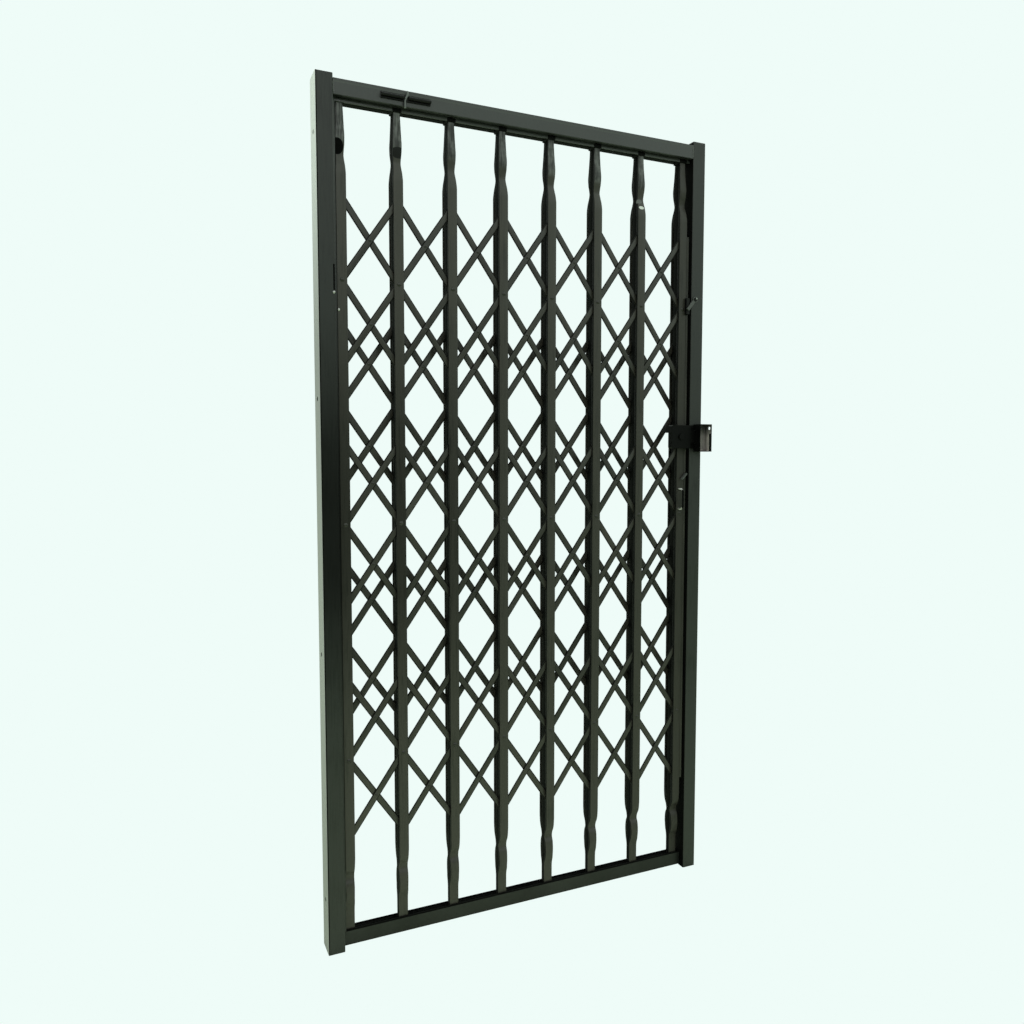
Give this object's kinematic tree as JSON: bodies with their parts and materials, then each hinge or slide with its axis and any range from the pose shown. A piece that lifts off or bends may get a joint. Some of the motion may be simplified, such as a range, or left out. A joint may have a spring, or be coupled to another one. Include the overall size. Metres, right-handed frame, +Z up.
{
  "type": "accordion security gate",
  "caption": "Folding trellis security gate for a doorway: charcoal steel pickets on flat-bar scissors, between two posts with a top and a floor track, shown shut and locked.",
  "frame": {"origin": "the middle of the left post's flat outer side face, half way up the gate and half way through its depth", "axes": "+X runs along the gate from the left post to the lock side, +Y from the room side (the front in the picture) to the far side, +Z up"},
  "size_m": [1.079, 0.09, 2.05],
  "materials": {
    "charcoal_paint": "satin, lightly worn",
    "zinc_plate": "dull",
    "satin_nickel": "satin",
    "dark_nylon": "matt"
  },
  "bodies": {
    "root": {"left_post": "charcoal_paint", "right_post": "charcoal_paint", "post_caps": "charcoal_paint", "top_track": "charcoal_paint", "bottom_track": "charcoal_paint", "lead_stile": "charcoal_paint", "lock_case": "charcoal_paint", "catch_plate": "charcoal_paint", "catch_rods": "charcoal_paint", "hook": "charcoal_paint", "hook_rest": "charcoal_paint", "picket_1_front": "charcoal_paint", "picket_1_rear": "charcoal_paint", "picket_2_front": "charcoal_paint", "picket_2_rear": "charcoal_paint", "picket_3_front": "charcoal_paint", "picket_3_rear": "charcoal_paint", "picket_4_front": "charcoal_paint", "picket_4_rear": "charcoal_paint", "picket_5_front": "charcoal_paint", "picket_5_rear": "charcoal_paint", "picket_6_front": "charcoal_paint", "picket_6_rear": "charcoal_paint", "picket_7_front": "charcoal_paint", "picket_7_rear": "charcoal_paint", "picket_8_front": "charcoal_paint", "picket_8_rear": "charcoal_paint", "rising_bars_1": "charcoal_paint", "falling_bars_1": "charcoal_paint", "rising_bars_2": "charcoal_paint", "falling_bars_2": "charcoal_paint", "rising_bars_3": "charcoal_paint", "falling_bars_3": "charcoal_paint", "rising_bars_4": "charcoal_paint", "falling_bars_4": "charcoal_paint", "rising_bars_5": "charcoal_paint", "falling_bars_5": "charcoal_paint", "keeper": "zinc_plate", "pivot_rivets": "zinc_plate", "hook_stud": "zinc_plate", "catch_pin": "zinc_plate", "pull_loop": "zinc_plate", "lock_bolt": "zinc_plate", "lock_cylinder": "satin_nickel", "top_wheels": "dark_nylon"}
  },
  "joints": []
}
